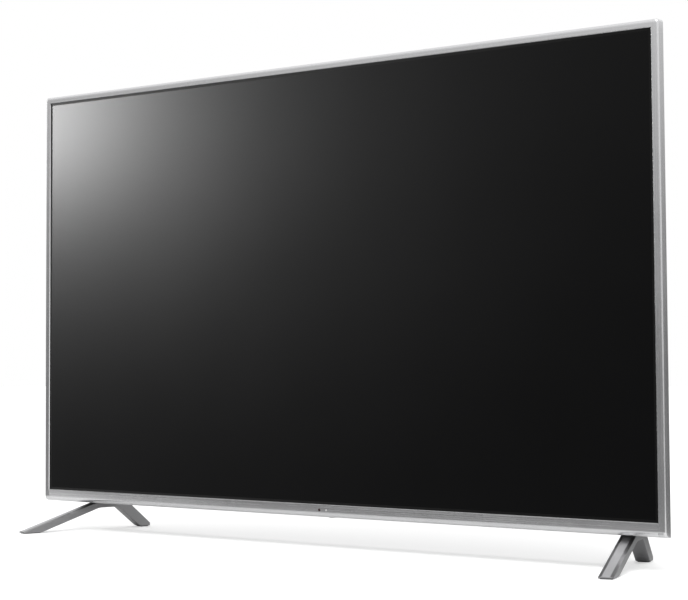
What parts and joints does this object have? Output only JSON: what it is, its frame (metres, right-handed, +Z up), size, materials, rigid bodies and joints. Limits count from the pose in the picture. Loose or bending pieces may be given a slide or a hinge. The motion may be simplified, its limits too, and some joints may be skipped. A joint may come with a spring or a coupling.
{
  "type": "flat screen tv",
  "caption": "Flat screen television with a slim brushed silver bezel, a rounded lower bar and two splayed arched bar feet.",
  "frame": {"origin": "on the floor, at the middle of the bounding box seen from above", "axes": "+X to the viewer's right along the screen, +Y from the screen to the back, +Z up"},
  "size_m": [1.241, 0.2424, 0.77],
  "materials": {
    "brushed_silver": "brushed along its length, satin",
    "foot_metal": "brushed along its length, satin",
    "screen_glass": "smooth, faintly matt",
    "dark_window": "smooth and clear",
    "pale_lens": "frosted",
    "black_frame": "fine grain",
    "cover_black": "fine grain",
    "optical_film": "silky",
    "milk_plate": "milky",
    "white_mirror": "bright white",
    "zinc_steel": "zinc coated",
    "light_board": "white coated",
    "clear_lens": "clear",
    "green_board": "coated",
    "tan_board": "coated",
    "amber_film": "smooth",
    "ribbon_white": "smooth",
    "capacitor_sleeve": "smooth",
    "coil_tape": "taped",
    "sink_metal": "plain",
    "tin_plate": "tinned",
    "socket_black": "fine grain",
    "jack_ring": "smooth",
    "post_steel": "zinc coated",
    "box_plastic": "fine grain",
    "basket_steel": "satin",
    "magnet_black": "ground",
    "cone_paper": "fibrous",
    "stick_plastic": "satin",
    "lead_skin": "smooth",
    "pad_rubber": "matt"
  },
  "bodies": {
    "set": {"antenna_sockets": "tin_plate", "av_jacks": "jack_ring", "bezel_frame": "brushed_silver", "bottom_bar": "brushed_silver", "brightness_film": "optical_film", "chassis_tray": "zinc_steel", "diffuser_plate": "milk_plate", "diffuser_sheet": "optical_film", "display_panel": "screen_glass", "display_ribbon_cable": "ribbon_white", "driver_films": "amber_film", "foot_bracket_left": "zinc_steel", "foot_bracket_right": "zinc_steel", "foot_left": "foot_metal", "foot_pads": "pad_rubber", "foot_right": "foot_metal", "foot_screws": "post_steel", "hdmi_sockets": "tin_plate", "lan_socket": "tin_plate", "light_bars": "light_board", "light_harness": "lead_skin", "light_lenses": "clear_lens", "light_window": "dark_window", "main_board": "green_board", "mains_inlet": "socket_black", "optical_socket": "socket_black", "panel_frame": "black_frame", "plate_supports": "white_mirror", "power_board": "tan_board", "power_capacitors": "capacitor_sleeve", "power_harness": "lead_skin", "power_heatsinks": "sink_metal", "power_transformers": "coil_tape", "prism_sheet": "optical_film", "processor_heatsink": "sink_metal", "rear_cover": "cover_black", "rear_cover_screws": "post_steel", "rear_terminal_plate": "cover_black", "reflector_sheet": "white_mirror", "sensor_board": "green_board", "side_terminal_plate": "cover_black", "source_boards": "green_board", "speaker_baskets": "basket_steel", "speaker_box_left": "box_plastic", "speaker_box_right": "box_plastic", "speaker_leads": "lead_skin", "speaker_magnets": "magnet_black", "standby_lens": "pale_lens", "stick_board": "green_board", "stick_case": "black_frame", "timing_board": "green_board", "timing_ribbon_cables": "ribbon_white", "tuner_can": "tin_plate", "usb_sockets": "tin_plate", "wall_mount_posts": "post_steel"},
    "left_cone": {"speaker_cone_left": "cone_paper"},
    "right_cone": {"speaker_cone_right": "cone_paper"},
    "gimbal": {"stick_gimbal": "stick_plastic"},
    "hub": {"stick_hub": "stick_plastic"},
    "knob": {"stick_knob": "stick_plastic"}
  },
  "joints": [
    {"name": "left_cone_travel", "type": "slide", "parent": "set", "child": "left_cone", "axis": [0, 0, 1], "range_m": [-0.001, 0.001], "stiffness_N_per_m": 900},
    {"name": "right_cone_travel", "type": "slide", "parent": "set", "child": "right_cone", "axis": [0, 0, 1], "range_m": [-0.001, 0.001], "stiffness_N_per_m": 900},
    {"name": "stick_fore_aft", "type": "hinge", "parent": "set", "child": "gimbal", "pos_m": [0, 0.02, 0.0625], "axis": [1, 0, 0], "range_deg": [-6, 6], "stiffness_Nm_per_rad": 0.06},
    {"name": "stick_sideways", "type": "hinge", "parent": "gimbal", "child": "hub", "pos_m": [0, 0.02, 0.0625], "axis": [0, 1, 0], "range_deg": [-6, 6], "stiffness_Nm_per_rad": 0.06},
    {"name": "stick_press", "type": "slide", "parent": "hub", "child": "knob", "axis": [0, 0, 1], "range_m": [0, 0.0006], "stiffness_N_per_m": 1200, "springref_m": -0.0004}
  ]
}
